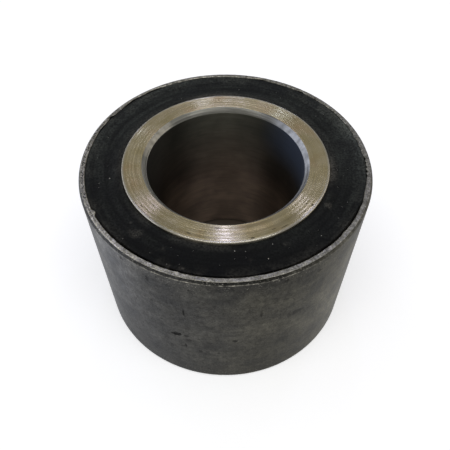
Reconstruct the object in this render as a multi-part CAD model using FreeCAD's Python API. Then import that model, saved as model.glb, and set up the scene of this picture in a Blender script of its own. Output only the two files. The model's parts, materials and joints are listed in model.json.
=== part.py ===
"""Rubber-to-metal bushing: a thick steel tube with a turned bore, a bonded rubber ring and a thin steel sleeve.

All sizes are in millimetres. The bushing's axis is Z, and the origin is the centre of its lower end face.
Each piece is turned or moulded round the axis, so each is one closed half section swept through a full turn.
A section is drawn with its radius along X and its height along Z, and the sizes build up from the bore outwards.
"""

import os

import FreeCAD
import Part

# The two tubes are cut to one length and end flush with each other
length = 37.0

# Inner tube: thick-walled steel, clamped on a pin between two cheeks
bore_radius = 15.0
tube_wall = 4.6
bore_chamfer_width = 0.85  # across the end face
bore_chamfer_depth = 1.0  # along the bore
tube_edge_break = 0.15  # the outer edge of each end, just filed off

# Rubber ring: moulded between the two tubes and bonded to both
rubber_wall = 6.7
shoulder_drop = 0.3  # from the tubes' end down to the two shoulders of the rubber's face
dish_depth = 0.3  # how far the face sags between its shoulders
tube_groove_width = 0.8  # where the face rolls down to the inner tube
tube_groove_depth = 0.2
sleeve_groove_width = 0.5  # where it rolls down to the sleeve
sleeve_groove_depth = 0.45

# Outer sleeve: thin drawn steel tube, pressed into an eye
sleeve_wall = 1.2
lead_in_width = 0.3  # how far the lead-in taper cuts into the wall
lead_in_length = 0.6  # how far it runs along the axis
sleeve_mouth_break = 0.12  # the inner edge of each end

# Radii that follow from those above
tube_outer_radius = bore_radius + tube_wall
sleeve_inner_radius = tube_outer_radius + rubber_wall
sleeve_outer_radius = sleeve_inner_radius + sleeve_wall

# Halfway across a groove the rubber has dropped by this share of its depth, so its edge rolls over
roll_share = 0.25


def point(radius, height):
    """A point of a half section."""
    return FreeCAD.Vector(radius, 0, height)


def line(start, end):
    return Part.LineSegment(point(*start), point(*end)).toShape()


def arc(start, middle, end):
    return Part.Arc(point(*start), point(*middle), point(*end)).toShape()


def closed_outline(corners):
    """Straight edges through the corners, and back to the first."""
    return [line(start, end) for start, end in zip(corners, corners[1:] + corners[:1])]


def turned(edges):
    """The solid that a closed half section sweeps in a full turn round Z."""
    face = Part.Face(Part.Wire(edges))
    solid = face.revolve(FreeCAD.Vector(0, 0, 0), FreeCAD.Vector(0, 0, 1), 360)
    return solid if solid.Volume > 0 else solid.reversed()


def make_inner_tube():
    """A thick tube with flat turned ends, a chamfered bore and lightly broken outer edges."""
    mouth_radius = bore_radius + bore_chamfer_width
    face_radius = tube_outer_radius - tube_edge_break
    return turned(
        closed_outline(
            [
                (mouth_radius, 0),
                (face_radius, 0),
                (tube_outer_radius, tube_edge_break),
                (tube_outer_radius, length - tube_edge_break),
                (face_radius, length),
                (mouth_radius, length),
                (bore_radius, length - bore_chamfer_depth),
                (bore_radius, bore_chamfer_depth),
            ]
        )
    )


def make_outer_sleeve():
    """A thin straight tube whose outer edges taper, so that it starts square in its eye."""
    face_radius = sleeve_outer_radius - lead_in_width
    mouth_radius = sleeve_inner_radius + sleeve_mouth_break
    return turned(
        closed_outline(
            [
                (mouth_radius, 0),
                (face_radius, 0),
                (sleeve_outer_radius, lead_in_length),
                (sleeve_outer_radius, length - lead_in_length),
                (face_radius, length),
                (mouth_radius, length),
                (sleeve_inner_radius, length - sleeve_mouth_break),
                (sleeve_inner_radius, sleeve_mouth_break),
            ]
        )
    )


def rubber_face(end, outwards):
    """One end face of the rubber in half section: its three arcs, and where it meets the tube and the sleeve.

    From the inner tube it rolls up to a shoulder, sags to a shallow dish, rises to a second shoulder and rolls
    down to the sleeve. end is the tubes' height there, and outwards is 1 at the top and -1 at the bottom.
    """
    inner_radius = tube_outer_radius + tube_groove_width
    outer_radius = sleeve_inner_radius - sleeve_groove_width
    shoulder = end - outwards * shoulder_drop
    at_tube = (tube_outer_radius, shoulder - outwards * tube_groove_depth)
    tube_roll = ((tube_outer_radius + inner_radius) / 2, shoulder - outwards * tube_groove_depth * roll_share)
    dish_middle = ((inner_radius + outer_radius) / 2, shoulder - outwards * dish_depth)
    sleeve_roll = (
        (outer_radius + sleeve_inner_radius) / 2,
        shoulder - outwards * sleeve_groove_depth * roll_share,
    )
    at_sleeve = (sleeve_inner_radius, shoulder - outwards * sleeve_groove_depth)
    arcs = [
        arc(at_tube, tube_roll, (inner_radius, shoulder)),
        arc((inner_radius, shoulder), dish_middle, (outer_radius, shoulder)),
        arc((outer_radius, shoulder), sleeve_roll, at_sleeve),
    ]
    return arcs, at_tube, at_sleeve


def make_rubber_element():
    """One moulded ring that fills the space between the tubes and ends a little below them."""
    top, top_at_tube, top_at_sleeve = rubber_face(length, 1)
    bottom, bottom_at_tube, bottom_at_sleeve = rubber_face(0, -1)
    outer_bond = line(top_at_sleeve, bottom_at_sleeve)
    inner_bond = line(bottom_at_tube, top_at_tube)
    return turned(top + [outer_bond] + bottom[::-1] + [inner_bond])


def main():
    pieces = {
        "outer_sleeve": make_outer_sleeve(),
        "rubber_element": make_rubber_element(),
        "inner_tube": make_inner_tube(),
    }
    os.makedirs("parts", exist_ok=True)
    for name, solid in pieces.items():
        solid.exportStep(f"parts/{name}.step")
        print(name, "valid" if solid.isValid() else "NOT VALID", "volume", round(solid.Volume, 1))


main()
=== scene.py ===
"""A rubber-to-metal bushing standing on its end: turned steel tube, bonded rubber ring, drawn steel sleeve.

Lengths are in metres in the same frame as the solids: the axis is Z and the lower end face lies at height 0.
Azimuths are in degrees round the axis, from +X towards +Y. The camera looks along +Y, from azimuth 270.
"""

import json
import math

import bmesh
import bpy
import numpy as np
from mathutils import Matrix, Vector, noise


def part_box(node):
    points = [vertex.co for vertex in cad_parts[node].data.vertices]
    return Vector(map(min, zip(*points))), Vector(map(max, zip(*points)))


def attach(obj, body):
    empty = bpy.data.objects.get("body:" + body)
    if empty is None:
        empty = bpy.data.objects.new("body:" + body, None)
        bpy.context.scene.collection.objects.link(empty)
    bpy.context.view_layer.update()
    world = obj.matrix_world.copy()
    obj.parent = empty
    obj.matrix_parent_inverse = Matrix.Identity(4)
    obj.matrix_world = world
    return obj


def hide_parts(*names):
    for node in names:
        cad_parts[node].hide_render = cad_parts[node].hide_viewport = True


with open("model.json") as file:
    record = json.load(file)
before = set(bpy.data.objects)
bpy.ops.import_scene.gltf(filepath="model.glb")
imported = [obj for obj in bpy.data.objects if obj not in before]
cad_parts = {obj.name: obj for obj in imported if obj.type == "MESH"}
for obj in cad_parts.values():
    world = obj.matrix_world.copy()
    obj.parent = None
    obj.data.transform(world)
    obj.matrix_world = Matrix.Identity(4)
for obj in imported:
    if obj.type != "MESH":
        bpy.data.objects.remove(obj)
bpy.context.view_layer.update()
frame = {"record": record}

# Inner tube
# A length of thick-walled steel tube, faced and bored on a lathe and chamfered at both mouths, with its outer
# edge filed off. The facing tool leaves one fine spiral groove across each end. The bore goes on its pin.

MM = 0.001

tube_low, tube_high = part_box("inner_tube")
tube_radius = tube_high.x
tube_end = tube_high.z
middle_height = (tube_low.z + tube_high.z) / 2
bore_mount = next(mount for mount in frame["record"]["mounts"] if mount["name"] == "bore")
bore_radius = bore_mount["dims"]["r_mm"] * MM
chamfer_width = 0.85 * MM
chamfer_depth = 1.0 * MM
edge_break = 0.15 * MM
edge_rounding = 0.04 * MM
mouth_rounding = 0.03 * MM
feed = 0.72 * MM  # of the facing tool's spiral, several times coarser than a real one so that it shows
groove_depth = 0.014 * MM
seam_gap = 0.0005 * MM  # points nearer than this are joined into one
tube_steps_round = 400


def point_at(azimuth, radius, height=0.0):
    """The point at that azimuth in degrees, that far from the axis and that high."""
    angle = math.radians(azimuth)
    return (radius * math.cos(angle), radius * math.sin(angle), height)


def toward(start, end):
    """The unit vector from one point of a section to another."""
    return (end - start) / np.linalg.norm(end - start)


def half_section(corners):
    """Points of a closed half section. A corner is its radius, height, rounding and the spacing after it."""
    places = [np.array(corner[:2]) for corner in corners]
    points = []
    for index, (_, _, rounding, spacing) in enumerate(corners):
        after = (index + 1) % len(corners)
        corner = places[index]
        start = corner + rounding * toward(corner, places[index - 1])
        end = corner + rounding * toward(corner, places[after])
        for share in (0.0, 0.25, 0.5, 0.75, 1.0) if rounding else (0.5,):
            points.append((1 - share) ** 2 * start + 2 * share * (1 - share) * corner + share**2 * end)
        run_end = places[after] + corners[after][2] * toward(places[after], corner)
        divisions = max(1, round(np.linalg.norm(run_end - end) / spacing))
        for step in range(1, divisions):
            points.append(end + (run_end - end) * step / divisions)
    return np.array(points)


def section_mesh(name, points):
    """The half section as a row of vertices that hold their outward normal and their run along it."""
    before, after = np.roll(points, 1, 0), np.roll(points, -1, 0)
    along = after - before
    outward = np.column_stack([along[:, 1], 0 * along[:, 0], -along[:, 0]])
    outward /= np.linalg.norm(outward, axis=1)[:, None]
    run = np.cumsum(np.linalg.norm(points - before, axis=1))
    mesh = bpy.data.meshes.new(name)
    mesh.from_pydata([(radius, 0, height) for radius, height in points], [], [])
    mesh.attributes.new("outward", "FLOAT_VECTOR", "POINT").data.foreach_set("vector", outward.ravel())
    mesh.attributes.new("run", "FLOAT", "POINT").data.foreach_set("value", run)
    return mesh


MATH, VECTOR_MATH, SPLIT = "ShaderNodeMath", "ShaderNodeVectorMath", "ShaderNodeSeparateXYZ"
NOISE, FADE, MIX, BUMP = "ShaderNodeTexNoise", "ShaderNodeMapRange", "ShaderNodeMix", "ShaderNodeBump"
BLEND = {"data_type": "RGBA"}
SHADE = {"data_type": "RGBA", "blend_type": "MULTIPLY"}


def first_output(node):
    """The first of the node's outputs that its settings leave in use."""
    return next(socket for socket in node.outputs if socket.enabled)


def add(tree, kind, inputs=None, **settings):
    """A node of that kind with its settings, and each input given a value, a socket or a node's first output.

    A fade's inputs are 0 its value, 1 and 2 the ends of its range, and 3 and 4 its results there, which are 0
    and 1 if not given. A mix's are 0 its share, and 6 and 7 its two colours, or 2 and 3 its two numbers.
    """
    node = tree.nodes.new(kind)
    for name, value in settings.items():
        setattr(node, name, value)
    for name, value in (inputs or {}).items():
        if isinstance(value, bpy.types.Node):
            value = first_output(value)
        if isinstance(value, bpy.types.NodeSocket):
            tree.links.new(value, node.inputs[name])
        else:
            node.inputs[name].default_value = value
    return node


def new_tree(name, sizes):
    """A geometry tree with one geometry in and out and the named sizes, as the tree and its inputs."""
    tree = bpy.data.node_groups.new(name, "GeometryNodeTree")
    tree.interface.new_socket("Geometry", in_out="INPUT", socket_type="NodeSocketGeometry")
    for size, value in sizes.items():
        kind = "NodeSocketInt" if isinstance(value, int) else "NodeSocketFloat"
        tree.interface.new_socket(size, in_out="INPUT", socket_type=kind)
    tree.interface.new_socket("Geometry", in_out="OUTPUT", socket_type="NodeSocketGeometry")
    return tree, add(tree, "NodeGroupInput").outputs


def new_object(name, data):
    """An object of a mesh, a lamp or a camera, linked into the scene."""
    thing = bpy.data.objects.new(name, data)
    bpy.context.scene.collection.objects.link(thing)
    return thing


def grow(name, mesh, tree, sizes):
    """The piece that a geometry tree makes of a mesh, as a plain mesh with its faces outwards."""
    piece = new_object(name, mesh)
    modifier = piece.modifiers.new(name, "NODES")
    modifier.node_group = tree
    for item in tree.interface.items_tree:
        if item.in_out == "INPUT" and item.name in sizes:
            modifier[item.identifier] = sizes[item.name]
    depsgraph = bpy.context.evaluated_depsgraph_get()
    made = bpy.data.meshes.new_from_object(piece.evaluated_get(depsgraph), depsgraph=depsgraph)
    piece.modifiers.clear()
    piece.data = made
    face_outwards(made)
    return piece


def face_outwards(mesh):
    """Turn the faces of a closed mesh outwards."""
    shell = bmesh.new()
    shell.from_mesh(mesh)
    bmesh.ops.recalc_face_normals(shell, faces=shell.faces)
    shell.to_mesh(mesh)
    shell.free()


def linear(hex_colour):
    """An sRGB hex colour as linear red, green, blue and alpha."""
    channels = [int(hex_colour[place : place + 2], 16) / 255 for place in (1, 3, 5)]
    return (*[c / 12.92 if c <= 0.04045 else ((c + 0.055) / 1.055) ** 2.4 for c in channels], 1.0)


def new_material(name, **values):
    """A new material, its tree, and its Principled shader with the values that are given."""
    material = bpy.data.materials.new(name)
    material.use_nodes = True
    tree = material.node_tree
    tree.nodes.clear()
    inputs = {key.replace("_", " "): value for key, value in values.items()}
    shader = add(tree, "ShaderNodeBsdfPrincipled", inputs)
    add(tree, "ShaderNodeOutputMaterial", {"Surface": shader})
    return material, tree, shader


def drive(tree, shader, **sources):
    """Link the first output of each node to the shader's input of that name."""
    for name, node in sources.items():
        tree.links.new(first_output(node), shader.inputs[name.replace("_", " ")])


def round_place(tree):
    """Where a point of the surface lies: its place, its three axes, its radius and the unit spoke to it."""
    place = add(tree, "ShaderNodeTexCoord").outputs["Object"]
    axes = add(tree, SPLIT, {0: place}).outputs
    level = add(tree, "ShaderNodeCombineXYZ", {0: axes[0], 1: axes[1]})
    radius = add(tree, VECTOR_MATH, {0: level}, operation="LENGTH")
    spoke = add(tree, VECTOR_MATH, {0: level}, operation="NORMALIZE")
    return place, axes, radius, spoke


def near_azimuth(tree, spoke, azimuth, reach, core, outside=0.0, inside=1.0):
    """One value within core degrees of an azimuth, another beyond reach degrees, and a fade between."""
    middle = point_at(azimuth, 1)
    beside = add(tree, VECTOR_MATH, {0: spoke, 1: middle}, operation="DOT_PRODUCT")
    edge, heart = math.cos(math.radians(reach)), math.cos(math.radians(core))
    return add(tree, FADE, {0: beside, 1: edge, 2: heart, 3: outside, 4: inside})


def tool_marks(tree, run, turn, pitch, wander, detail=2.0):
    """Uneven marks about a pitch apart along the section, which change within 1/wander radians round it."""
    across = add(tree, MATH, {0: run, 1: 1 / pitch}, operation="MULTIPLY")
    cosine = add(tree, MATH, {0: turn[0], 1: wander}, operation="MULTIPLY")
    sine = add(tree, MATH, {0: turn[1], 1: wander}, operation="MULTIPLY")
    where = add(tree, "ShaderNodeCombineXYZ", {0: across, 1: cosine, 2: sine})
    return add(tree, NOISE, {"Vector": where, "Scale": 1.0, "Detail": detail})


# Turned steel: a bright lathe-cut metal under a straw-coloured film of oil on the end faces, cleaner grey in
# the chamfers and dark and brownish down the bore. Its round tool marks stretch each reflection to a spoke.
turned_steel, tree, shader = new_material("turned steel", Anisotropic=1.0, Anisotropic_Rotation=0.25)
place, axes, radius, spoke = round_place(tree)
signed_height = add(tree, MATH, {0: axes[2], 1: middle_height}, operation="SUBTRACT")
from_middle = add(tree, MATH, {0: signed_height}, operation="ABSOLUTE")
run = add(tree, MATH, {0: radius, 1: from_middle}, operation="ADD")
turn = add(tree, SPLIT, {0: spoke}).outputs

# A real facing tool's rings lie about 0.1 mm apart, too fine for the render, so these are drawn coarser.
rings = tool_marks(tree, run, turn, pitch=0.36 * MM, wander=0.8)
scratches = tool_marks(tree, run, turn, pitch=0.2 * MM, wander=4, detail=0.0)
chatter = tool_marks(tree, run, turn, pitch=3 * MM, wander=13, detail=1.0)
bore_rings = tool_marks(tree, run, turn, pitch=0.9 * MM, wander=2.5, detail=4.0)
blotches = add(tree, NOISE, {"Vector": place, "Scale": 1 / (2.5 * MM), "Detail": 4.0})
clouds = add(tree, NOISE, {"Vector": place, "Scale": 1 / (6 * MM), "Detail": 3.0})

# The end face under its film, paler and greyer beside the outer edge
patchy = add(tree, FADE, {0: blotches, 1: 0.35, 2: 0.65})
film = add(tree, MIX, {0: patchy, 6: linear("#CABB90"), 7: linear("#D8CAA6")}, **BLEND)
tinged = add(tree, FADE, {0: clouds, 1: 0.52, 2: 0.68, 4: 0.5})
film = add(tree, MIX, {0: tinged, 6: film, 7: linear("#D0B288")}, **BLEND)
pale_outer_band = add(tree, FADE, {0: radius, 1: tube_radius - 0.55 * MM, 2: tube_radius - 0.2 * MM, 4: 0.7})
face = add(tree, MIX, {0: pale_outer_band, 6: film, 7: linear("#D6D2C6")}, **BLEND)

# Nicks in the upper face: azimuth, radius, half length round the face, half width, and how dark
nicks = [
    (265.2, 16.5 * MM, 0.6 * MM, 0.12 * MM, 0.85),
    (283.6, 19.05 * MM, 0.35 * MM, 0.14 * MM, 0.8),
    (323.4, 18.95 * MM, 0.28 * MM, 0.2 * MM, 0.85),
    (322.0, 18.0 * MM, 0.28 * MM, 0.13 * MM, 0.7),
    (317.2, 18.65 * MM, 0.35 * MM, 0.1 * MM, 0.5),
    (302.0, 18.9 * MM, 0.8 * MM, 0.1 * MM, 0.6),
    (296.0, 18.5 * MM, 0.5 * MM, 0.1 * MM, 0.45),
    (250.5, 18.55 * MM, 0.4 * MM, 0.12 * MM, 0.6),
    (218.2, 18.66 * MM, 0.3 * MM, 0.12 * MM, 0.55),
    (221.8, 16.92 * MM, 0.3 * MM, 0.1 * MM, 0.5),
]
nicked = 0.0
for azimuth, distance, half_length, half_width, dark in nicks:
    nick_box = {
        "Vector": place,
        "Location": point_at(azimuth, distance, tube_end),
        "Rotation": (0, 0, math.radians(azimuth)),
        "Scale": (half_width, half_length, half_width),
    }
    beside = add(tree, "ShaderNodeMapping", nick_box, vector_type="TEXTURE")
    far = add(tree, VECTOR_MATH, {0: beside}, operation="LENGTH")
    nick = add(tree, FADE, {0: far, 1: 1.2, 2: 0.6, 4: dark})
    nicked = add(tree, MATH, {0: nick, 1: nicked}, operation="MAXIMUM")
face = add(tree, MIX, {0: nicked, 6: face, 7: linear("#3A3128")}, **BLEND)

# The chamfering tool chattered on two sides, and left ribs across the cut there
chattered = 0.0
for azimuth, half_width in ((20, 30), (150, 18)):
    ribbed = near_azimuth(tree, spoke, azimuth, half_width, 0.7 * half_width)
    chattered = add(tree, MATH, {0: ribbed, 1: chattered}, operation="MAXIMUM")
rib_tone = add(tree, FADE, {0: chatter, 1: 0.35, 2: 0.62, 3: 0.72, 4: 1.3})
ring_lines = add(tree, FADE, {0: rings, 1: 0.38, 2: 0.62, 3: 0.66, 4: 1.1})
cut_tone = add(tree, MIX, {0: chattered, 6: ring_lines, 7: rib_tone}, **BLEND)
# Painted light: the chamfer is painted a cooler grey on the right, a painted tint of the left window's light,
# and painted lighter at the front and darker at the back.
window_tint_share = add(tree, FADE, {0: axes[0], 1: 6 * MM, 2: 11 * MM})
clean_cut = add(tree, MIX, {0: window_tint_share, 6: linear("#A3A197"), 7: linear("#A5A6A8")}, **BLEND)
chamfer_front_light = add(tree, FADE, {0: axes[1], 1: -4 * MM, 2: 1 * MM, 3: 1.8, 4: 1.0})
chamfer_rear_shade = add(tree, FADE, {0: axes[0], 1: -1 * MM, 2: 2 * MM, 3: 0.84, 4: 0.7})
chamfer_light_and_shade = add(tree, FADE, {0: axes[1], 1: 10 * MM, 2: 14 * MM, 3: chamfer_front_light, 4: chamfer_rear_shade})
mouth_tone = add(tree, MIX, {0: 1.0, 6: cut_tone, 7: chamfer_light_and_shade}, **SHADE)
mouth = add(tree, MIX, {0: 1.0, 6: clean_cut, 7: mouth_tone}, **SHADE)

# The bore is lighter and browner low down, painted darker at its sides as painted shade, and has a painted
# cold reflection high on the right
up = add(tree, FADE, {0: axes[2], 1: 0.5 * tube_end, 2: 0.9 * tube_end})
wall = add(tree, MIX, {0: up, 6: linear("#7A6859"), 7: linear("#5E5C50")}, **BLEND)
sideways = add(tree, MATH, {0: axes[0]}, operation="ABSOLUTE")
# Painted shade: the bore's sides are painted darker, most of all high up.
side_shade_by_height = add(tree, FADE, {0: axes[2], 1: 13 * MM, 2: 22 * MM, 3: 1.0, 4: 0.3})
painted_side_shade = add(tree, FADE, {0: sideways, 1: 1 * MM, 2: 11 * MM, 3: 1.0, 4: side_shade_by_height})
ring_tone = add(tree, FADE, {0: bore_rings, 1: 0.35, 2: 0.65, 3: 0.88, 4: 1.1})
cloud_tone = add(tree, FADE, {0: clouds, 1: 0.38, 2: 0.62, 3: 0.78, 4: 1.15})
ringed = add(tree, MATH, {0: ring_tone, 1: painted_side_shade}, operation="MULTIPLY")
wall_tone = add(tree, MATH, {0: ringed, 1: cloud_tone}, operation="MULTIPLY")
dim_wall = add(tree, MIX, {0: 1.0, 6: wall, 7: wall_tone}, **SHADE)
# Painted reflection: a cold tint high on the right of the bore.
right_side = add(tree, FADE, {0: axes[0], 1: 7 * MM, 2: 13 * MM})
high = add(tree, FADE, {0: axes[2], 1: 26 * MM, 2: 32 * MM})
painted_cold_share = add(tree, MATH, {0: right_side, 1: high}, operation="MULTIPLY")
bore = add(tree, MIX, {0: painted_cold_share, 6: dim_wall, 7: linear("#434C5C")}, **BLEND)

# The three surfaces together, and the tool marks over them all
in_mouth = add(tree, FADE, {0: radius, 1: bore_radius + 0.01 * MM, 2: bore_radius + 0.06 * MM})
face_edge = bore_radius + chamfer_width
on_face = add(tree, FADE, {0: radius, 1: face_edge - 0.06 * MM, 2: face_edge + 0.04 * MM})
inside = add(tree, MIX, {0: in_mouth, 6: bore, 7: mouth}, **BLEND)
steel = add(tree, MIX, {0: on_face, 6: inside, 7: face}, **BLEND)
deepest = add(tree, FADE, {0: axes[1], 1: -15 * MM, 2: -8 * MM, 3: 0.8, 4: 0.96})
mark_tone = add(tree, FADE, {0: rings, 1: 0.35, 2: 0.65, 3: deepest, 4: 1.03})
marked = add(tree, MIX, {0: 1.0, 6: steel, 7: mark_tone}, **SHADE)
scratch_tone = add(tree, FADE, {0: scratches, 1: 0.3, 2: 0.5, 3: 0.9, 4: 1.0})
scratched = add(tree, MIX, {0: 1.0, 6: marked, 7: scratch_tone}, **SHADE)
inner_share = add(tree, FADE, {0: in_mouth, 3: 0.5, 4: 0.7})
metal_share = add(tree, FADE, {0: on_face, 3: inner_share, 4: 1.0})
face_dullness = add(tree, FADE, {0: rings, 1: 0.4, 2: 0.6, 3: 0.15, 4: 0.26})
dullness = add(tree, MIX, {0: in_mouth, 2: 0.42, 3: face_dullness})
ring_strength = add(tree, FADE, {0: sideways, 1: 9 * MM, 2: 17 * MM, 3: 1.0, 4: 0.4})
ring_bump = add(tree, BUMP, {"Strength": ring_strength, "Distance": 0.012 * MM, "Height": rings})
scratch_bump = add(tree, BUMP, {"Distance": 0.001 * MM, "Height": scratches, "Normal": ring_bump})
tangent = add(tree, "ShaderNodeTangent", direction_type="RADIAL", axis="Z")
drive(tree, shader, Base_Color=scratched, Metallic=metal_share, Roughness=dullness)
drive(tree, shader, Normal=scratch_bump, Tangent=tangent)

tube_section = half_section(
    [
        (tube_radius, tube_low.z + edge_break, edge_rounding, 12 * MM),
        (tube_radius, tube_end - edge_break, edge_rounding, 0.05 * MM),
        (tube_radius - edge_break, tube_end, edge_rounding, 0.07 * MM),
        (bore_radius + chamfer_width, tube_end, mouth_rounding, 0.08 * MM),
        (bore_radius, tube_end - chamfer_depth, mouth_rounding, 0.6 * MM),
        (bore_radius, tube_low.z + chamfer_depth, mouth_rounding, 0.16 * MM),
        (bore_radius + chamfer_width, tube_low.z, mouth_rounding, 0.14 * MM),
        (tube_radius - edge_break, tube_low.z, edge_rounding, 0.05 * MM),
    ]
)

# The tree sweeps the section round the axis as the rows of a grid, and sinks the spiral into the end faces
tube_sizes = {"Steps Round": tube_steps_round, "Feed": feed, "Groove Depth": groove_depth}
tree, sizes_in = new_tree("turned_tube", tube_sizes)
section = sizes_in["Geometry"]
section_points = add(tree, "GeometryNodeAttributeDomainSize", {0: section}, component="MESH")
rows = add(tree, MATH, {0: sizes_in["Steps Round"], 1: 1}, operation="ADD")
columns = add(tree, MATH, {0: section_points, 1: 1}, operation="ADD")
grid = add(tree, "GeometryNodeMeshGrid", {"Vertices X": rows, "Vertices Y": columns})
index = add(tree, "GeometryNodeInputIndex")
row_part = add(tree, MATH, {0: index, 1: columns}, operation="DIVIDE")
row = add(tree, MATH, {0: row_part}, operation="FLOOR")
column_part = add(tree, MATH, {0: index, 1: columns}, operation="MODULO")
column = add(tree, MATH, {0: column_part, 1: section_points}, operation="MODULO")

# Each point of the grid takes what the section's point in its column holds
HELD = "GeometryNodeInputNamedAttribute"
on_section = [
    ("FLOAT_VECTOR", add(tree, "GeometryNodeInputPosition")),
    ("FLOAT_VECTOR", add(tree, HELD, {"Name": "outward"}, data_type="FLOAT_VECTOR")),
    ("FLOAT", add(tree, HELD, {"Name": "run"}, data_type="FLOAT")),
]
corner, outward, run_here = [
    add(tree, "GeometryNodeSampleIndex", {0: section, "Value": value, "Index": column}, data_type=kind)
    for kind, value in on_section
]
turns = add(tree, MATH, {0: row, 1: sizes_in["Steps Round"]}, operation="DIVIDE")
angle = add(tree, MATH, {0: turns, 1: math.tau}, operation="MULTIPLY")
feeds = add(tree, MATH, {0: run_here, 1: sizes_in["Feed"]}, operation="DIVIDE")
spiral = add(tree, MATH, {0: feeds, 1: turns}, operation="ADD")
spiral_angle = add(tree, MATH, {0: spiral, 1: math.tau}, operation="MULTIPLY")
wave = add(tree, MATH, {0: spiral_angle}, operation="COSINE")
share = add(tree, MATH, {0: wave, 1: 0.5, 2: -0.5}, operation="MULTIPLY_ADD")
deep = add(tree, MATH, {0: share, 1: sizes_in["Groove Depth"]}, operation="MULTIPLY")
slope = add(tree, SPLIT, {0: outward}).outputs[2]
faced = add(tree, MATH, {0: slope}, operation="ABSOLUTE")
cut = add(tree, MATH, {0: deep, 1: faced}, operation="MULTIPLY")
shift = add(tree, VECTOR_MATH, {0: outward, "Scale": cut}, operation="SCALE")
cut_corner = add(tree, VECTOR_MATH, {0: corner, 1: shift}, operation="ADD")
turned = add(tree, "ShaderNodeVectorRotate", {"Vector": cut_corner, "Angle": angle}, rotation_type="Z_AXIS")
placed = add(tree, "GeometryNodeSetPosition", {0: grid, "Position": turned})
closed = add(tree, "GeometryNodeMergeByDistance", {0: placed, "Distance": seam_gap})
smooth = add(tree, "GeometryNodeSetShadeSmooth", {0: closed})
real = add(tree, "GeometryNodeRealizeInstances", {0: smooth})
dressed = add(tree, "GeometryNodeSetMaterial", {0: real, "Material": turned_steel})
add(tree, "NodeGroupOutput", {"Geometry": dressed})

turned_tube = grow("turned_tube", section_mesh("tube_section", tube_section), tree, tube_sizes)
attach(turned_tube, "root")
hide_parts("inner_tube")

# Rubber ring
# Black natural rubber, moulded hot between the two tubes and bonded to both. Its end faces sag to a shallow
# dish, part from the sleeve in a fine crevice at the front and creep up to its rim at the back.

sleeve_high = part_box("outer_sleeve")[1]
sleeve_radius = sleeve_high.x
sleeve_wall = 1.2 * MM
sleeve_inner = sleeve_radius - sleeve_wall
shoulder_drop = 0.3 * MM
dish_depth = 0.3 * MM
tube_groove_width = 0.8 * MM
tube_groove_depth = 0.25 * MM
crevice_width = 0.5 * MM
crevice_depth = 1.3 * MM
crevice_azimuth = 275.0  # the middle of the crevice
crevice_half_angle = 63.0
crevice_runout = 9.0  # how many degrees it takes to close at each end
join_share = 0.4  # the share of its width that is left where it is closed
join_depth = 0.06 * MM  # and its depth there
creep = 0.2 * MM  # how much nearer the rim the rubber is at the back
open_azimuth = 268.0  # the side where the rubber lies deepest
ripple_length = 2.2 * MM
ripple_height = 0.035 * MM
fine_ripple_height = 0.014 * MM
least_drop = 0.03 * MM
rubber_steps_round = 720


def apart(azimuth, other):
    """The angle between two azimuths, in degrees."""
    return abs((azimuth - other + 180) % 360 - 180)


def openness(azimuth):
    """1 where the rubber lies deepest, and 0 on the far side."""
    return 0.5 + 0.5 * math.cos(math.radians(apart(azimuth, open_azimuth)))


def gaping(azimuth):
    """1 where the rubber has parted from the sleeve, and 0 where it clings to it."""
    inward = crevice_half_angle - apart(azimuth, crevice_azimuth)
    return min(1.0, max(0.0, inward / crevice_runout))


def ring_mesh(name, sections):
    """A closed ring skinned over half sections that stand side by side round the axis."""
    steps, points, _ = sections.shape
    mesh = bpy.data.meshes.new(name)
    faces = [
        (
            step * points + point,
            step * points + (point + 1) % points,
            (step + 1) % steps * points + (point + 1) % points,
            (step + 1) % steps * points + point,
        )
        for step in range(steps)
        for point in range(points)
    ]
    mesh.from_pydata(sections.reshape(-1, 3).tolist(), [], faces)
    mesh.shade_smooth()
    face_outwards(mesh)
    return new_object(name, mesh)


def recess(radius, azimuth):
    """How far the rubber lies below the tubes' ends at that place."""
    inner_shoulder = tube_radius + tube_groove_width
    open_share = openness(azimuth)
    width = crevice_width * (join_share + (1 - join_share) * gaping(azimuth))
    depth = crevice_depth * gaping(azimuth) + join_depth
    outer_shoulder = sleeve_inner - width
    dish_share = (2 * radius - inner_shoulder - outer_shoulder) / (outer_shoulder - inner_shoulder)
    near_sleeve = max(0.0, (radius - tube_radius) / (sleeve_inner - tube_radius))
    drop = shoulder_drop - creep * (1 - open_share) * near_sleeve
    if radius < inner_shoulder:
        drop += tube_groove_depth * ((inner_shoulder - radius) / tube_groove_width) ** 2
    elif radius > outer_shoulder:
        drop += depth * ((radius - outer_shoulder) / width) ** 1.5
    else:
        drop += dish_depth * (1 - dish_share**2)
    where = Vector(point_at(azimuth, radius)) / ripple_length
    uneven = noise.noise(where) * ripple_height + noise.noise(where * 3.1) * fine_ripple_height
    return max(drop + uneven, least_drop)


# The radii across the face lie closer together in the groove beside the tube and in the crevice
dish_start, dish_end = tube_radius + tube_groove_width, sleeve_inner - crevice_width
face_radii = np.concatenate(
    [
        np.linspace(tube_radius, dish_start, 7)[:-1],
        np.linspace(dish_start, dish_end, 20)[:-1],
        np.linspace(dish_end, sleeve_inner, 9),
    ]
)
rubber_sections = []
for azimuth in np.arange(rubber_steps_round) * 360 / rubber_steps_round:
    drops = [recess(radius, azimuth) for radius in face_radii]
    top = [point_at(azimuth, radius, tube_end - drop) for radius, drop in zip(face_radii, drops)]
    bottom = [point_at(azimuth, radius, drop) for radius, drop in zip(face_radii, drops)]
    rubber_sections.append(top + bottom[::-1])
rubber_ring = ring_mesh("rubber_ring", np.array(rubber_sections))
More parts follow.
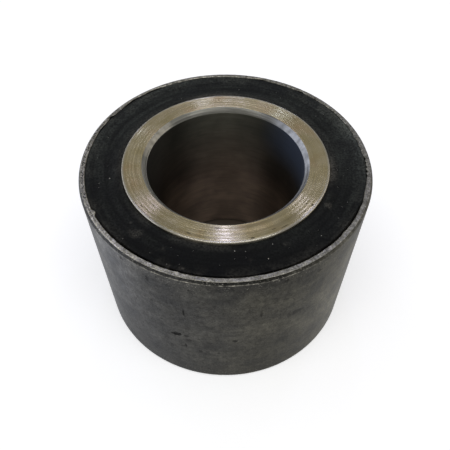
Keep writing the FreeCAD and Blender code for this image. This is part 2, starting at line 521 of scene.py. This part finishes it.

# Moulded rubber: nearly black and matt, with the rings of the turned mould printed faintly in its face,
# painted light that pales it towards the back, and dust rubbed in beside the sleeve and paler patches beside
# the tube. The grain is drawn several times coarser than a real one.
moulded_rubber, tree, shader = new_material("moulded rubber", Specular_IOR_Level=0.13)
place, axes, radius, spoke = round_place(tree)
grain = add(tree, NOISE, {"Vector": place, "Scale": 1 / (0.35 * MM), "Detail": 4.0})
patches = add(tree, NOISE, {"Vector": place, "Scale": 1 / (3.2 * MM), "Detail": 4.0})
turn = add(tree, SPLIT, {0: spoke}).outputs
mould_rings = tool_marks(tree, radius, turn, pitch=0.9 * MM, wander=1.6, detail=3.0)
near_sleeve = add(tree, FADE, {0: radius, 1: sleeve_inner - 2.6 * MM, 2: sleeve_inner - 0.5 * MM, 4: 0.35})
in_patches = add(tree, FADE, {0: patches, 1: 0.45, 2: 0.7})
rubbed = add(tree, MATH, {0: near_sleeve, 1: in_patches}, operation="MULTIPLY")

# Paler patches against the tube: azimuth, half width in degrees, how much
pale_arcs_by_tube = [(258, 18, 0.65), (352, 14, 1.0), (222, 10, 0.6), (92, 34, 1.0), (20, 60, 0.35), (165, 50, 0.45)]
near_tube = add(tree, FADE, {0: radius, 1: tube_radius + 0.3 * MM, 2: tube_radius + 1.7 * MM, 3: 1.0, 4: 0.0})
patchy_by_tube = add(tree, FADE, {0: patches, 1: 0.3, 2: 0.6, 3: 0.2, 4: 1.0})
pale_by_tube = add(tree, MATH, {0: near_tube, 1: patchy_by_tube}, operation="MULTIPLY")
for azimuth, half_width, amount in pale_arcs_by_tube:
    pale_arc = near_azimuth(tree, spoke, azimuth, half_width, half_width / 3, 0.0, amount)
    pale_here = add(tree, MATH, {0: pale_by_tube, 1: pale_arc}, operation="MULTIPLY")
    rubbed = add(tree, MATH, {0: rubbed, 1: pale_here}, operation="MAXIMUM")

# Scuffs on the flat of the face, each with a ragged outline: azimuth, radius, half width, how much
level = add(tree, "ShaderNodeCombineXYZ", {0: axes[0], 1: axes[1]})
ragged = add(tree, FADE, {0: patches, 1: 0.35, 2: 0.65, 3: 1.3 * MM, 4: -0.5 * MM})
for azimuth, distance, half_width, amount in (
    (216, 21.6 * MM, 0.8 * MM, 0.6),
    (222, 22.0 * MM, 1.0 * MM, 0.5),
    (229, 22.9 * MM, 1.9 * MM, 0.45),
    (229.3, 25.4 * MM, 0.6 * MM, 0.6),
    (243, 22.8 * MM, 1.1 * MM, 0.4),
    (249, 25.4 * MM, 0.9 * MM, 0.6),
    (254, 25.2 * MM, 1.1 * MM, 0.7),
    (280, 22.8 * MM, 1.2 * MM, 0.35),
    (296.6, 21.8 * MM, 0.8 * MM, 0.35),
    (328.3, 20.9 * MM, 0.6 * MM, 0.6),
):
    centre = point_at(azimuth, distance)
    far = add(tree, VECTOR_MATH, {0: level, 1: centre}, operation="DISTANCE")
    beyond = add(tree, MATH, {0: far, 1: ragged}, operation="ADD")
    scuff = add(tree, FADE, {0: beyond, 1: half_width, 2: 0.2 * half_width, 4: amount})
    rubbed = add(tree, MATH, {0: rubbed, 1: scuff}, operation="MAXIMUM")

# The body has painted light, palest towards the back and near the sleeve there, and painted shade, near black
# inside the crevice
grain_share = add(tree, FADE, {0: grain, 1: 0.3, 2: 0.65})
speckled = add(tree, MATH, {0: rubbed, 1: grain_share}, operation="MULTIPLY")
in_body = add(tree, FADE, {0: patches, 1: 0.3, 2: 0.7})
body = add(tree, MIX, {0: in_body, 6: linear("#0F100F"), 7: linear("#1B1D1B")}, **BLEND)
# Painted light: the body is painted darker towards the front and paler towards the back.
painted_rear_light = add(tree, FADE, {0: axes[1], 1: -22 * MM, 2: 6 * MM, 3: 0.13, 4: 1.54})
grain_high = add(tree, FADE, {0: axes[1], 1: -19 * MM, 2: -9 * MM, 3: 2.5, 4: 1.6})
grain_tone = add(tree, FADE, {0: grain, 1: 0.35, 2: 0.65, 3: 0.4, 4: grain_high})
ring_high = add(tree, FADE, {0: axes[1], 1: -19 * MM, 2: -9 * MM, 3: 2.0, 4: 1.45})
mould_tone = add(tree, FADE, {0: mould_rings, 1: 0.35, 2: 0.65, 3: 0.55, 4: ring_high})
outer_right = add(tree, FADE, {0: axes[0], 1: 21 * MM, 2: 25 * MM, 3: 1.0, 4: 2.0})
# Painted light: paler still near the sleeve at the back.
rear_edge_light = add(tree, FADE, {0: axes[1], 1: -8 * MM, 2: 4 * MM, 3: 1.0, 4: 1.6})
painted_edge_light = add(
    tree, FADE, {0: radius, 1: sleeve_inner - 2.2 * MM, 2: sleeve_inner - 0.3 * MM, 3: 1.0, 4: rear_edge_light}
)
# Painted shade: near black inside the crevice at the front.
crevice_core = crevice_half_angle - crevice_runout
crevice_arc = near_azimuth(tree, spoke, crevice_azimuth, crevice_half_angle, crevice_core, 1.0, 0.02)
painted_crevice_shade = add(
    tree, FADE, {0: radius, 1: sleeve_inner - 0.56 * MM, 2: sleeve_inner - 0.38 * MM, 3: 1.0, 4: crevice_arc}
)
body_tone = painted_rear_light
for tone in (grain_tone, mould_tone, outer_right, painted_edge_light, painted_crevice_shade):
    body_tone = add(tree, MATH, {0: body_tone, 1: tone}, operation="MULTIPLY")
grained = add(tree, MIX, {0: 1.0, 6: body, 7: body_tone}, **SHADE)
dusted = add(tree, MIX, {0: speckled, 6: grained, 7: linear("#514E48")}, **BLEND)
dullness = add(tree, FADE, {0: patches, 1: 0.3, 2: 0.7, 3: 0.48, 4: 0.68})
dullness = add(tree, FADE, {0: painted_crevice_shade, 1: 0.9, 2: 0.3, 3: dullness, 4: 1.0})
swell = add(tree, BUMP, {"Strength": 0.6, "Distance": 0.07 * MM, "Height": patches})
mould_bump = add(tree, BUMP, {"Distance": 0.045 * MM, "Height": mould_rings, "Normal": swell})
skin = add(tree, BUMP, {"Strength": 0.7, "Distance": 0.03 * MM, "Height": grain, "Normal": mould_bump})
drive(tree, shader, Base_Color=dusted, Roughness=dullness, Normal=skin)
rubber_ring.data.materials.append(moulded_rubber)
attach(rubber_ring, "root")
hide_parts("rubber_element")

# Outer sleeve
# A thin tube of drawn steel, cut to length, its outer edges tapered for pressing into the eye. The cut ends
# are bare and ragged inside, and the rest keeps the dull dark skin that it was drawn and cleaned with.

sleeve_end = sleeve_high.z
taper_width = 0.3 * MM
taper_length = 0.6 * MM
taper_rounding = 0.07 * MM
rim_rounding = 0.14 * MM
mouth_break = 0.12 * MM
wall_rounding = 0.02 * MM
inner_rounding = 0.03 * MM
mouth_break_width = 0.62 * sleeve_wall  # how far across the wall a broken edge reaches
mouth_break_depth = 0.9 * MM  # and how far down it
edge_raggedness = 0.06 * MM
end_unevenness = 0.03 * MM
end_waves = 0.8 * MM
out_of_round = 0.02 * MM
side_waves = 6 * MM
sleeve_steps_round = 1080
# Painted highlight and shade: at this azimuth the rim's outer edge is painted lightest and the taper under it
# darkest.
front_left = 222  # azimuth where the rim's outer edge is bright and the taper under it dark
left_flank = 225  # azimuth of the part of the side whose tone rises most with height

# Where the sleeve's inner edge is broken away or leans in as a burr: azimuth, half width in degrees, depth
mouth_breaks = [
    (1.0, 0.8, 0.3 * MM),
    (4.5, 1.2, -0.2 * MM),
    (9, 1.0, -0.18 * MM),
    (14, 1.3, -0.22 * MM),
    (33, 6.0, 0.12 * MM),
    (52, 1.3, 0.42 * MM),
    (73, 2.2, 0.36 * MM),
    (104, 8.0, 0.2 * MM),
    (126, 5.0, 0.45 * MM),
    (137, 5.0, 0.5 * MM),
    (152, 1.4, 0.55 * MM),
    (160, 5.0, 0.2 * MM),
    (209.5, 1.1, -0.42 * MM),
    (253, 1.2, -0.12 * MM),
    (319, 1.0, -0.15 * MM),
    (343, 4.0, -0.15 * MM),
    (351.2, 0.6, 0.2 * MM),
    (353.7, 0.6, 0.26 * MM),
    (356.2, 0.6, 0.22 * MM),
    (358.6, 0.6, 0.26 * MM),
]


def hump(distance, half_width):
    """The share of a break's depth that is left that far from its middle."""
    return math.exp(-((distance / half_width) ** 2))


def mouth_offset(azimuth):
    """How far the sleeve's inner edge lies outside its true circle there."""
    ragged = noise.noise(Vector(point_at(azimuth, 30, 4.0))) * edge_raggedness
    return ragged + sum(depth * hump(apart(azimuth, at), width) for at, width, depth in mouth_breaks)


rim_section = half_section(
    [
        (sleeve_inner, mouth_break, wall_rounding, 12 * MM),
        (sleeve_inner, sleeve_end - mouth_break, wall_rounding, 0.1 * MM),
        (sleeve_inner + mouth_break, sleeve_end, inner_rounding, 0.09 * MM),
        (sleeve_radius - taper_width, sleeve_end, rim_rounding, 0.16 * MM),
        (sleeve_radius, sleeve_end - taper_length, taper_rounding, 1.0 * MM),
        (sleeve_radius, taper_length, taper_rounding, 0.3 * MM),
        (sleeve_radius - taper_width, 0, rim_rounding, 0.2 * MM),
        (sleeve_inner + mouth_break, 0, inner_rounding, 0.1 * MM),
    ]
)

# The inner edge is broken and burred, the ends are uneven, and the outer side is slightly out of round
sleeve_sections = []
for azimuth in np.arange(sleeve_steps_round) * 360 / sleeve_steps_round:
    offset = mouth_offset(azimuth)
    section = []
    for radius, height in rim_section:
        to_end = min(height, sleeve_end - height)
        inner_share = max(0.0, 1 - (radius - sleeve_inner) / mouth_break_width)
        end_share = max(0.0, 1 - to_end / mouth_break_depth)
        radius += offset * inner_share * end_share
        at = Vector(point_at(azimuth, radius, height))
        sunk = (0.5 + 0.5 * noise.noise(at / end_waves)) * end_unevenness * end_share
        if radius > sleeve_radius - 1.1 * taper_width:
            radius -= (0.9 + 0.5 * noise.noise(at / side_waves)) * out_of_round
        if to_end < 0.5 * taper_length:
            height += sunk if height < middle_height else -sunk
        section.append(point_at(azimuth, radius, height))
    sleeve_sections.append(section)
drawn_sleeve = ring_mesh("drawn_sleeve", np.array(sleeve_sections))

# Drawn steel: a dark, slightly oily mill skin with faint draw lines, stains and pits, bare grey metal where
# the ends were cut, and a pale line along the taper's lower edge, with painted light and shade on the side,
# the taper and the rim. The grit, the draw lines and the saw marks are drawn coarser than real ones, so that
# they show.
drawn_steel, tree, shader = new_material("drawn steel", Metallic=1.0, Specular_Tint=(0.6, 0.6, 0.6, 1.0))
place, axes, radius, spoke = round_place(tree)
signed_height = add(tree, MATH, {0: axes[2], 1: middle_height}, operation="SUBTRACT")
from_middle = add(tree, MATH, {0: signed_height}, operation="ABSOLUTE")
half_length = sleeve_end / 2
frontward = add(tree, MATH, {0: axes[1], 1: -1.0}, operation="MULTIPLY")
front_angle = add(tree, MATH, {0: axes[0], 1: frontward}, operation="ARCTAN2")
arc = add(tree, MATH, {0: front_angle, 1: sleeve_radius}, operation="MULTIPLY")
skin_place = add(tree, "ShaderNodeCombineXYZ", {0: arc, 1: axes[2]})


def skin_marks(width, height, detail=3.0, seed=0.0):
    """Uneven marks in the steel, about a width across and a height along the axis."""
    inputs = {"Vector": place, "Location": (seed, seed, 0), "Scale": (1 / width, 1 / width, 1 / height)}
    stretched = add(tree, "ShaderNodeMapping", inputs)
    return add(tree, NOISE, {"Vector": stretched, "Scale": 1.0, "Detail": detail, "Roughness": 0.6})


draw_lines = skin_marks(0.6 * MM, 9 * MM)
turn_lines = skin_marks(6 * MM, 0.8 * MM, seed=3.0)
clouds = skin_marks(6 * MM, 5 * MM, detail=4.0)
mottle = skin_marks(0.9 * MM, 1.1 * MM, detail=4.0)
grit = skin_marks(0.28 * MM, 0.28 * MM, detail=2.0)
burr_marks = skin_marks(0.7 * MM, 0.7 * MM, detail=3.0, seed=7.0)
saw_marks = skin_marks(1.0 * MM, 1.0 * MM, detail=4.0, seed=11.0)

# Stains and pits on the side: azimuth, height, half width along the arc, half height, and how dark
stains = [
    (249.6, 16.7 * MM, 0.95 * MM, 0.62 * MM, 1.0),
    (251.8, 17.2 * MM, 0.5 * MM, 0.5 * MM, 1.0),
    (254.4, 17.1 * MM, 0.5 * MM, 0.45 * MM, 0.6),
    (255.4, 15.5 * MM, 0.5 * MM, 0.5 * MM, 0.4),
    (253.8, 13.1 * MM, 0.25 * MM, 0.8 * MM, 0.75),
    (247.5, 11.0 * MM, 0.4 * MM, 0.6 * MM, 0.35),
    (260.0, 11.6 * MM, 0.35 * MM, 0.4 * MM, 0.5),
    (267.1, 11.6 * MM, 0.35 * MM, 0.4 * MM, 0.55),
    (273.5, 17.0 * MM, 0.5 * MM, 0.4 * MM, 0.75),
    (283.1, 25.8 * MM, 0.18 * MM, 1.3 * MM, 0.5),
    (254.6, 26.3 * MM, 0.16 * MM, 1.3 * MM, 0.8),
    (297.5, 22.6 * MM, 1.6 * MM, 0.7 * MM, 0.4),
    (231.0, 35.3 * MM, 0.6 * MM, 0.4 * MM, 0.6),
    (242.0, 33.6 * MM, 0.35 * MM, 0.7 * MM, 0.5),
    (291.0, 35.2 * MM, 0.3 * MM, 0.6 * MM, 0.7),
    (305.0, 33.4 * MM, 0.5 * MM, 0.4 * MM, 0.5),
]
uneven = add(tree, FADE, {0: mottle, 1: 0.3, 2: 0.7, 3: -0.45, 4: 0.45})
stain = 0.0
for azimuth, height, half_width, half_height, dark in stains:
    centre = (math.radians(azimuth - 270) * sleeve_radius, height, 0)
    away = add(tree, VECTOR_MATH, {0: skin_place, 1: centre}, operation="SUBTRACT")
    scaled = add(tree, VECTOR_MATH, {0: away, 1: (1 / half_width, 1 / half_height, 1)}, operation="MULTIPLY")
    far = add(tree, VECTOR_MATH, {0: scaled}, operation="LENGTH")
    ragged_far = add(tree, MATH, {0: far, 1: uneven}, operation="ADD")
    spot = add(tree, FADE, {0: ragged_far, 1: 1.3, 2: 0.7, 4: dark})
    stain = add(tree, MATH, {0: spot, 1: stain}, operation="MAXIMUM")

# Small pits lie in patches, mostly on the left
pitted_left = add(tree, FADE, {0: axes[0], 1: -22 * MM, 2: 4 * MM, 3: 0.75, 4: 0.4})
pit_patches = add(tree, FADE, {0: clouds, 1: 0.38, 2: 0.6, 3: 0.1, 4: pitted_left})
pits = add(tree, FADE, {0: burr_marks, 1: 0.59, 2: 0.69, 4: pit_patches})
marks = add(tree, MATH, {0: stain, 1: pits}, operation="MAXIMUM")

# The skin is painted cooler on the left, a painted tint of the left window's light, and each tone below
# darkens or clears it along a line, a patch or a side
in_clouds = add(tree, FADE, {0: clouds, 1: 0.35, 2: 0.65})
cool = add(tree, MIX, {0: in_clouds, 6: linear("#3E3F41"), 7: linear("#525252")}, **BLEND)
warm = add(tree, MIX, {0: in_clouds, 6: linear("#3F3E3A"), 7: linear("#525048")}, **BLEND)
rightward = add(tree, FADE, {0: axes[0], 1: -18 * MM, 2: 6 * MM})
skin = add(tree, MIX, {0: rightward, 6: cool, 7: warm}, **BLEND)
# Painted light: the side is painted lighter on its flanks and towards the back than at its front.
rear_flank_light = add(tree, FADE, {0: axes[1], 1: -9 * MM, 2: 6 * MM, 3: 2.3, 4: 1.3})
painted_flank_light = add(tree, FADE, {0: axes[1], 1: -25.5 * MM, 2: -16 * MM, 3: 1.0, 4: rear_flank_light})
# Painted shade: the side is painted darker towards its foot.
foot_shade = add(tree, FADE, {0: axes[2], 1: 0.0, 2: 0.4 * sleeve_end, 3: 0.82, 4: 1.0})
head_end = add(tree, FADE, {0: axes[0], 1: -17 * MM, 2: -1 * MM, 3: 1.15, 4: 0.74})
head_tone = add(
    tree, FADE, {0: axes[2], 1: 0.6 * sleeve_end, 2: 0.95 * sleeve_end, 3: foot_shade, 4: head_end}
)
line_tone = add(tree, FADE, {0: draw_lines, 1: 0.35, 2: 0.65, 3: 0.95, 4: 1.05})
turn_tone = add(tree, FADE, {0: turn_lines, 1: 0.38, 2: 0.62, 3: 0.92, 4: 1.08})
sideways = add(tree, MATH, {0: axes[0]}, operation="ABSOLUTE")
mottle_low = add(tree, FADE, {0: sideways, 1: 17 * MM, 2: 24 * MM, 3: 0.72, 4: 0.62})
mottle_high = add(tree, FADE, {0: sideways, 1: 17 * MM, 2: 24 * MM, 3: 1.33, 4: 1.42})
mottle_tone = add(tree, FADE, {0: mottle, 1: 0.36, 2: 0.64, 3: mottle_low, 4: mottle_high})
grit_tone = add(tree, FADE, {0: grit, 1: 0.36, 2: 0.64, 3: 0.82, 4: 1.2})
# Painted shade: the taper is painted darker, most of all at the front left.
taper_shade_arc = near_azimuth(tree, spoke, front_left, 30, 16, 0.85, 0.4)
taper_start = half_length - taper_length
on_taper = add(tree, FADE, {0: from_middle, 1: taper_start - 0.02 * MM, 2: taper_start + 0.1 * MM})
painted_taper_shade = add(tree, FADE, {0: on_taper, 3: 1.0, 4: taper_shade_arc})
on_flank = near_azimuth(tree, spoke, left_flank, 13, 4)
rise = add(tree, FADE, {0: axes[2], 1: 0.25 * sleeve_end, 2: 0.92 * sleeve_end, 3: 0.72, 4: 1.35})
left_tone = add(tree, FADE, {0: on_flank, 3: 1.0, 4: rise})
tones = head_tone
for tone in (line_tone, painted_flank_light, turn_tone, mottle_tone, grit_tone, painted_taper_shade, left_tone):
    tones = add(tree, MATH, {0: tones, 1: tone}, operation="MULTIPLY")
mottled = add(tree, MIX, {0: 1.0, 6: skin, 7: tones}, **SHADE)
stained = add(tree, MIX, {0: marks, 6: mottled, 7: linear("#080807")}, **BLEND)

# Cut metal: the end face, flecks rubbed bright just under the taper, and a pale line at its lower corner,
# palest at the front
near_face = add(tree, FADE, {0: from_middle, 1: half_length - 0.14 * MM, 2: half_length - 0.06 * MM})
rolled_edge = sleeve_radius - taper_width
inside_edge = add(tree, FADE, {0: radius, 1: rolled_edge - 0.02 * MM, 2: rolled_edge - 0.12 * MM})
on_rim = add(tree, MATH, {0: near_face, 1: inside_edge}, operation="MULTIPLY")
near_corner = add(tree, MATH, {0: from_middle, 1: taper_start, 2: 0.1 * MM}, operation="COMPARE")
front_paleness = add(tree, FADE, {0: axes[1], 1: -22.5 * MM, 2: -24.8 * MM, 3: 0.1, 4: 0.7})
corner_paleness = add(tree, FADE, {0: mottle, 1: 0.4, 2: 0.6, 3: 0.05, 4: front_paleness})
pale_corner_line = add(tree, MATH, {0: near_corner, 1: corner_paleness}, operation="MULTIPLY")
fleck_band = add(tree, FADE, {0: from_middle, 1: half_length - 4.5 * MM, 2: half_length - 1.5 * MM, 4: 0.5})
flecks = add(tree, FADE, {0: grit, 1: 0.64, 2: 0.72, 4: fleck_band})
bright = add(tree, MATH, {0: pale_corner_line, 1: flecks}, operation="MAXIMUM")
bare = add(tree, MATH, {0: on_rim, 1: bright}, operation="MAXIMUM")

# Rubber smeared on the end's inner edge at the back, and a dark crack that runs round its left side
wander = add(tree, FADE, {0: burr_marks, 1: 0.3, 2: 0.7, 3: -0.35 * MM, 4: 0.35 * MM})
edge_place = add(tree, MATH, {0: radius, 1: wander}, operation="ADD")
rearward = add(tree, FADE, {0: axes[1], 1: -2 * MM, 2: 12 * MM, 4: 0.65})
smear = add(tree, FADE, {0: edge_place, 1: sleeve_inner + 0.2 * MM, 2: sleeve_inner + 0.12 * MM, 4: rearward})
crack = add(tree, MATH, {0: edge_place, 1: sleeve_inner + 0.45 * MM, 2: 0.09 * MM}, operation="COMPARE")
on_left = add(tree, FADE, {0: axes[0], 1: -20 * MM, 2: -25 * MM, 4: 0.9})
cracked = add(tree, MATH, {0: crack, 1: on_left}, operation="MULTIPLY")
dark_rim = add(tree, MATH, {0: smear, 1: cracked}, operation="MAXIMUM")
in_grit = add(tree, FADE, {0: grit, 1: 0.36, 2: 0.62})
sawn = add(tree, MIX, {0: in_grit, 6: linear("#8A877B"), 7: linear("#BEBAAC")}, **BLEND)
saw_tone = add(tree, FADE, {0: saw_marks, 1: 0.38, 2: 0.62, 3: 0.62, 4: 1.28})
leftward_tone = add(tree, FADE, {0: axes[0], 1: -sleeve_radius, 2: sleeve_radius, 3: 1.2, 4: 0.8})
# Painted highlight: the rim's outer band is painted lighter at the front left.
rim_highlight_arc = near_azimuth(tree, spoke, front_left, 17, 7, 1.0, 1.6)
painted_rim_highlight = add(
    tree, FADE, {0: radius, 1: rolled_edge - 0.4 * MM, 2: rolled_edge - 0.25 * MM, 3: 1.0, 4: rim_highlight_arc}
)
rim_tone = add(tree, MATH, {0: saw_tone, 1: leftward_tone}, operation="MULTIPLY")
rim_tone = add(tree, MATH, {0: rim_tone, 1: painted_rim_highlight}, operation="MULTIPLY")
sawn_patches = add(tree, MIX, {0: 1.0, 6: sawn, 7: rim_tone}, **SHADE)
cut_metal = add(tree, MIX, {0: dark_rim, 6: sawn_patches, 7: linear("#23231F")}, **BLEND)
surface = add(tree, MIX, {0: bare, 6: stained, 7: cut_metal}, **BLEND)

dullness = add(tree, FADE, {0: mottle, 1: 0.3, 2: 0.7, 3: 0.34, 4: 0.54})
line_bump = add(tree, BUMP, {"Strength": 0.5, "Distance": 0.03 * MM, "Height": draw_lines})
mottle_bump = add(tree, BUMP, {"Strength": 0.7, "Distance": 0.08 * MM, "Height": mottle, "Normal": line_bump})
grit_bump = add(tree, BUMP, {"Strength": 0.5, "Distance": 0.025 * MM, "Height": grit, "Normal": mottle_bump})
drive(tree, shader, Base_Color=surface, Roughness=dullness, Normal=grit_bump)
drawn_sleeve.data.materials.append(drawn_steel)
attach(drawn_sleeve, "root")
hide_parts("outer_sleeve")

# Dust on the rubber
# Pale specks of workshop dust and a few larger crumbs on the rubber's upper face. They are loose, and only
# the tacky rubber holds them.

dust_margin = 1.0 * MM  # how far the dust keeps from both metals
bed_steps = 180

# Crumbs: azimuth, radius and size
crumbs = [
    (274.0, 20.94 * MM, 0.11 * MM),
    (287.3, 23.33 * MM, 0.1 * MM),
    (291.7, 20.96 * MM, 0.08 * MM),
    (191.7, 21.8 * MM, 0.1 * MM),
    (312.4, 23.84 * MM, 0.07 * MM),
]

# Pale dust: matt grains from grey to off-white, which show as light dots on the black rubber.
pale_dust, tree, shader = new_material("pale dust", Roughness=0.9)
place = add(tree, "ShaderNodeTexCoord").outputs["Object"]
tint = add(tree, NOISE, {"Vector": place, "Scale": 1 / (0.8 * MM)})
dusty = add(tree, MIX, {0: tint, 6: linear("#8C8A84"), 7: linear("#D9D7CF")}, **BLEND)
drive(tree, shader, Base_Color=dusty)


def on_rubber(azimuth, radius):
    """The point of the rubber's upper face at that azimuth and radius."""
    return point_at(azimuth, radius, tube_end - recess(radius, azimuth))


# The bed that the dust lies on: a coarse copy of the face, with a loose vertex under each crumb
bed_inner, bed_outer = tube_radius + dust_margin, sleeve_inner - dust_margin
bed = bmesh.new()
size_layer = bed.verts.layers.float.new("size")
for step in range(bed_steps):
    here, after = step * 360 / bed_steps, (step + 1) * 360 / bed_steps
    corners = ((here, bed_inner), (here, bed_outer), (after, bed_outer), (after, bed_inner))
    bed.faces.new([bed.verts.new(on_rubber(azimuth, radius)) for azimuth, radius in corners])
for azimuth, radius, size in crumbs:
    crumb = bed.verts.new(on_rubber(azimuth, radius))
    crumb[size_layer] = size
bed_mesh = bpy.data.meshes.new("dust_bed")
bed.to_mesh(bed_mesh)
bed.free()

dust_sizes = {"Density": 0.05 / MM**2, "Speck Radius": 0.035 * MM, "Seed": 7}
tree, sizes_in = new_tree("scattered_dust", dust_sizes)
bed_in, seed = sizes_in["Geometry"], sizes_in["Seed"]
scatter_in = {"Mesh": bed_in, "Density": sizes_in["Density"], "Seed": seed}
scattered = add(tree, "GeometryNodeDistributePointsOnFaces", scatter_in)
spread = add(tree, "FunctionNodeRandomValue", {2: 0.5, 3: 1.6, "Seed": seed}, data_type="FLOAT")
speck_size = add(tree, MATH, {0: spread, 1: sizes_in["Speck Radius"]}, operation="MULTIPLY")
specks_in = {0: scattered, "Name": "size", "Value": speck_size}
specks = add(tree, "GeometryNodeStoreNamedAttribute", specks_in, data_type="FLOAT", domain="POINT")
size_here = add(tree, HELD, {"Name": "size"}, data_type="FLOAT")
is_crumb = add(tree, "FunctionNodeCompare", {0: size_here, 1: 0.0}, data_type="FLOAT")
crumb_points = add(tree, "GeometryNodeMeshToPoints", {0: bed_in, "Selection": is_crumb})
both = add(tree, "GeometryNodeJoinGeometry", {0: specks})
tree.links.new(crumb_points.outputs[0], both.inputs[0])
grain_shape = add(tree, "GeometryNodeMeshIcoSphere", {"Radius": 1.0, "Subdivisions": 2})
tumble_in = {0: (0.0, 0.0, 0.0), 1: (math.tau, math.tau, math.tau), "Seed": seed}
tumble = add(tree, "FunctionNodeRandomValue", tumble_in, data_type="FLOAT_VECTOR")
shape_in = {0: (0.7, 0.7, 0.5), 1: (1.2, 1.2, 0.9), "Seed": seed}
lopsided = add(tree, "FunctionNodeRandomValue", shape_in, data_type="FLOAT_VECTOR")
scale_here = add(tree, VECTOR_MATH, {0: lopsided, "Scale": size_here}, operation="SCALE")
grains_in = {"Points": both, "Instance": grain_shape, "Rotation": tumble, "Scale": scale_here}
grains = add(tree, "GeometryNodeInstanceOnPoints", grains_in)
real = add(tree, "GeometryNodeRealizeInstances", {0: grains})
dressed = add(tree, "GeometryNodeSetMaterial", {0: real, "Material": pale_dust})
add(tree, "NodeGroupOutput", {"Geometry": dressed})

dust = grow("dust_specks", bed_mesh, tree, dust_sizes)
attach(dust, "root")

# Floor, lamps and camera
# A pale table in a dim even room, lit by a wide soft panel overhead and a pale window on each side. Smaller
# lamps stand behind the part, and throw the spokes of light that cross the turned face.

floor_reach = 3.0
table_colour = "#EBEBEB"
# Painted shadow: the dark colour of the table inside the bore.
shade_colour = "#39322C"  # of the table inside the bore

# White table: a plain matt top that glows a little to the eye and in reflections only, so that it shows as
# white and keeps the part's shadow. Where it is seen down the bore it is painted dark and glows less, as
# painted shadow.
white_table = bpy.data.materials.new("white table")
white_table.use_nodes = True
tree = white_table.node_tree
tree.nodes.clear()
rays = add(tree, "ShaderNodeLightPath").outputs
seen = add(tree, MATH, {0: rays["Is Camera Ray"], 1: rays["Is Glossy Ray"]}, operation="MAXIMUM")
seen = add(tree, MATH, {0: seen, 1: rays["Is Transmission Ray"]}, operation="MAXIMUM")
place = add(tree, "ShaderNodeTexCoord").outputs["Object"]
from_axis = add(tree, VECTOR_MATH, {0: place}, operation="LENGTH")
mouth_radius = bore_radius + chamfer_width
outside = add(tree, FADE, {0: from_axis, 1: mouth_radius, 2: mouth_radius + 1 * MM})
lift = add(tree, FADE, {0: outside, 3: 0.3, 4: 0.506})
seen_lift = add(tree, MATH, {0: seen, 1: lift}, operation="MULTIPLY")
pale = add(tree, MIX, {0: outside, 6: linear(shade_colour), 7: linear(table_colour)}, **BLEND)
paint = add(tree, "ShaderNodeBsdfDiffuse", {"Color": pale})
glow = add(tree, "ShaderNodeEmission", {"Color": pale, "Strength": seen_lift})
both = add(tree, "ShaderNodeAddShader", {0: paint, 1: glow})
add(tree, "ShaderNodeOutputMaterial", {"Surface": both})

floor_mesh = bpy.data.meshes.new("floor")
floor_corners = [(x * floor_reach, y * floor_reach, 0) for x, y in ((-1, -1), (1, -1), (1, 1), (-1, 1))]
floor_mesh.from_pydata(floor_corners, [], [(0, 1, 2, 3)])
floor_mesh.materials.append(white_table)
floor = new_object("floor", floor_mesh)

world = bpy.data.worlds.new("even room")
world.use_nodes = True
bpy.context.scene.world = world
world.node_tree.nodes.clear()
room = add(world.node_tree, "ShaderNodeBackground", {"Color": (1, 1, 1, 1), "Strength": 0.3})
add(world.node_tree, "ShaderNodeOutputWorld", {"Surface": room})

# Rectangular lamps that face the part: name, azimuth, elevation, distance, width, height, brightness, colour.
# The brightness is the light of the lamp's face, where 1 shows as white.
lamps = [
    ("overhead_panel", 270, 73, 1.0, 1.2, 0.45, 3.1, "#FFFFFF"),
    ("left_window", 163, 17, 0.7, 1.2, 0.38, 0.85, "#E6EDFF"),
    ("right_window", 14, 18, 0.7, 0.7, 0.25, 0.6, "#FFF2E2"),
    ("front_spoke", 90.3, 60.9, 0.6, 0.013, 0.12, 7.8, "#B9C0FF"),
    ("front_glow", 89.6, 58, 0.6, 0.052, 0.12, 1.6, "#C2C8FF"),
    ("left_spoke", 125, 53.4, 0.6, 0.075, 0.06, 4.4, "#C3C2FF"),
    ("right_spoke", 54, 53.4, 0.6, 0.065, 0.06, 7.2, "#C6CCFF"),
    ("rear_spoke", 93.2, 38.5, 0.6, 0.013, 0.05, 4.3, "#C4CFFF"),
    ("rear_glow", 85, 37.5, 0.6, 0.043, 0.05, 0.35, "#D0DAFF"),
    ("rear_right_spoke", 81.6, 38.8, 0.6, 0.012, 0.05, 5.0, "#C2D5FF"),
    ("rear_left_spoke", 109, 34.1, 0.6, 0.016, 0.05, 3.4, "#C2D0FF"),
]


def face_target(thing, target, back, distance):
    """The object of a lamp or a camera, that far back from its target and facing it."""
    holder = new_object(thing.name, thing)
    holder.location = target + back * distance
    holder.rotation_mode = "QUATERNION"
    holder.rotation_quaternion = (-back).to_track_quat("-Z", "Y")
    return holder


for name, azimuth, elevation, distance, width, height, brightness, colour in lamps:
    lamp = bpy.data.lights.new(name, "AREA")
    lamp.shape = "RECTANGLE"
    lamp.size = width
    lamp.size_y = height
    lamp.energy = brightness * math.pi * width * height
    lamp.color = linear(colour)[:3]
    rise = math.radians(elevation)
    back = Vector(point_at(azimuth, math.cos(rise), math.sin(rise)))
    face_target(lamp, Vector((0, 0, tube_end)), back, distance).visible_camera = False

# The camera, fitted to the rims and the outline in the photograph
focal_pixels = 495.87
picture_pixels = 450
camera_elevation = 51.524
camera_distance = 109.25 * MM
aim_height = 17.15 * MM
aim_left = 0.11 * MM  # the part stands this far right of the picture's middle
camera = bpy.data.cameras.new("camera")
camera.sensor_width = 36.0
camera.lens = focal_pixels / picture_pixels * camera.sensor_width
camera.clip_start = 0.005
camera.clip_end = 20.0
rise = math.radians(camera_elevation)
back = Vector((0, -math.cos(rise), math.sin(rise)))
aim = Vector((-aim_left, 0, aim_height))
bpy.context.scene.camera = face_target(camera, aim, back, camera_distance)
bpy.context.scene.view_settings.view_transform = "Standard"
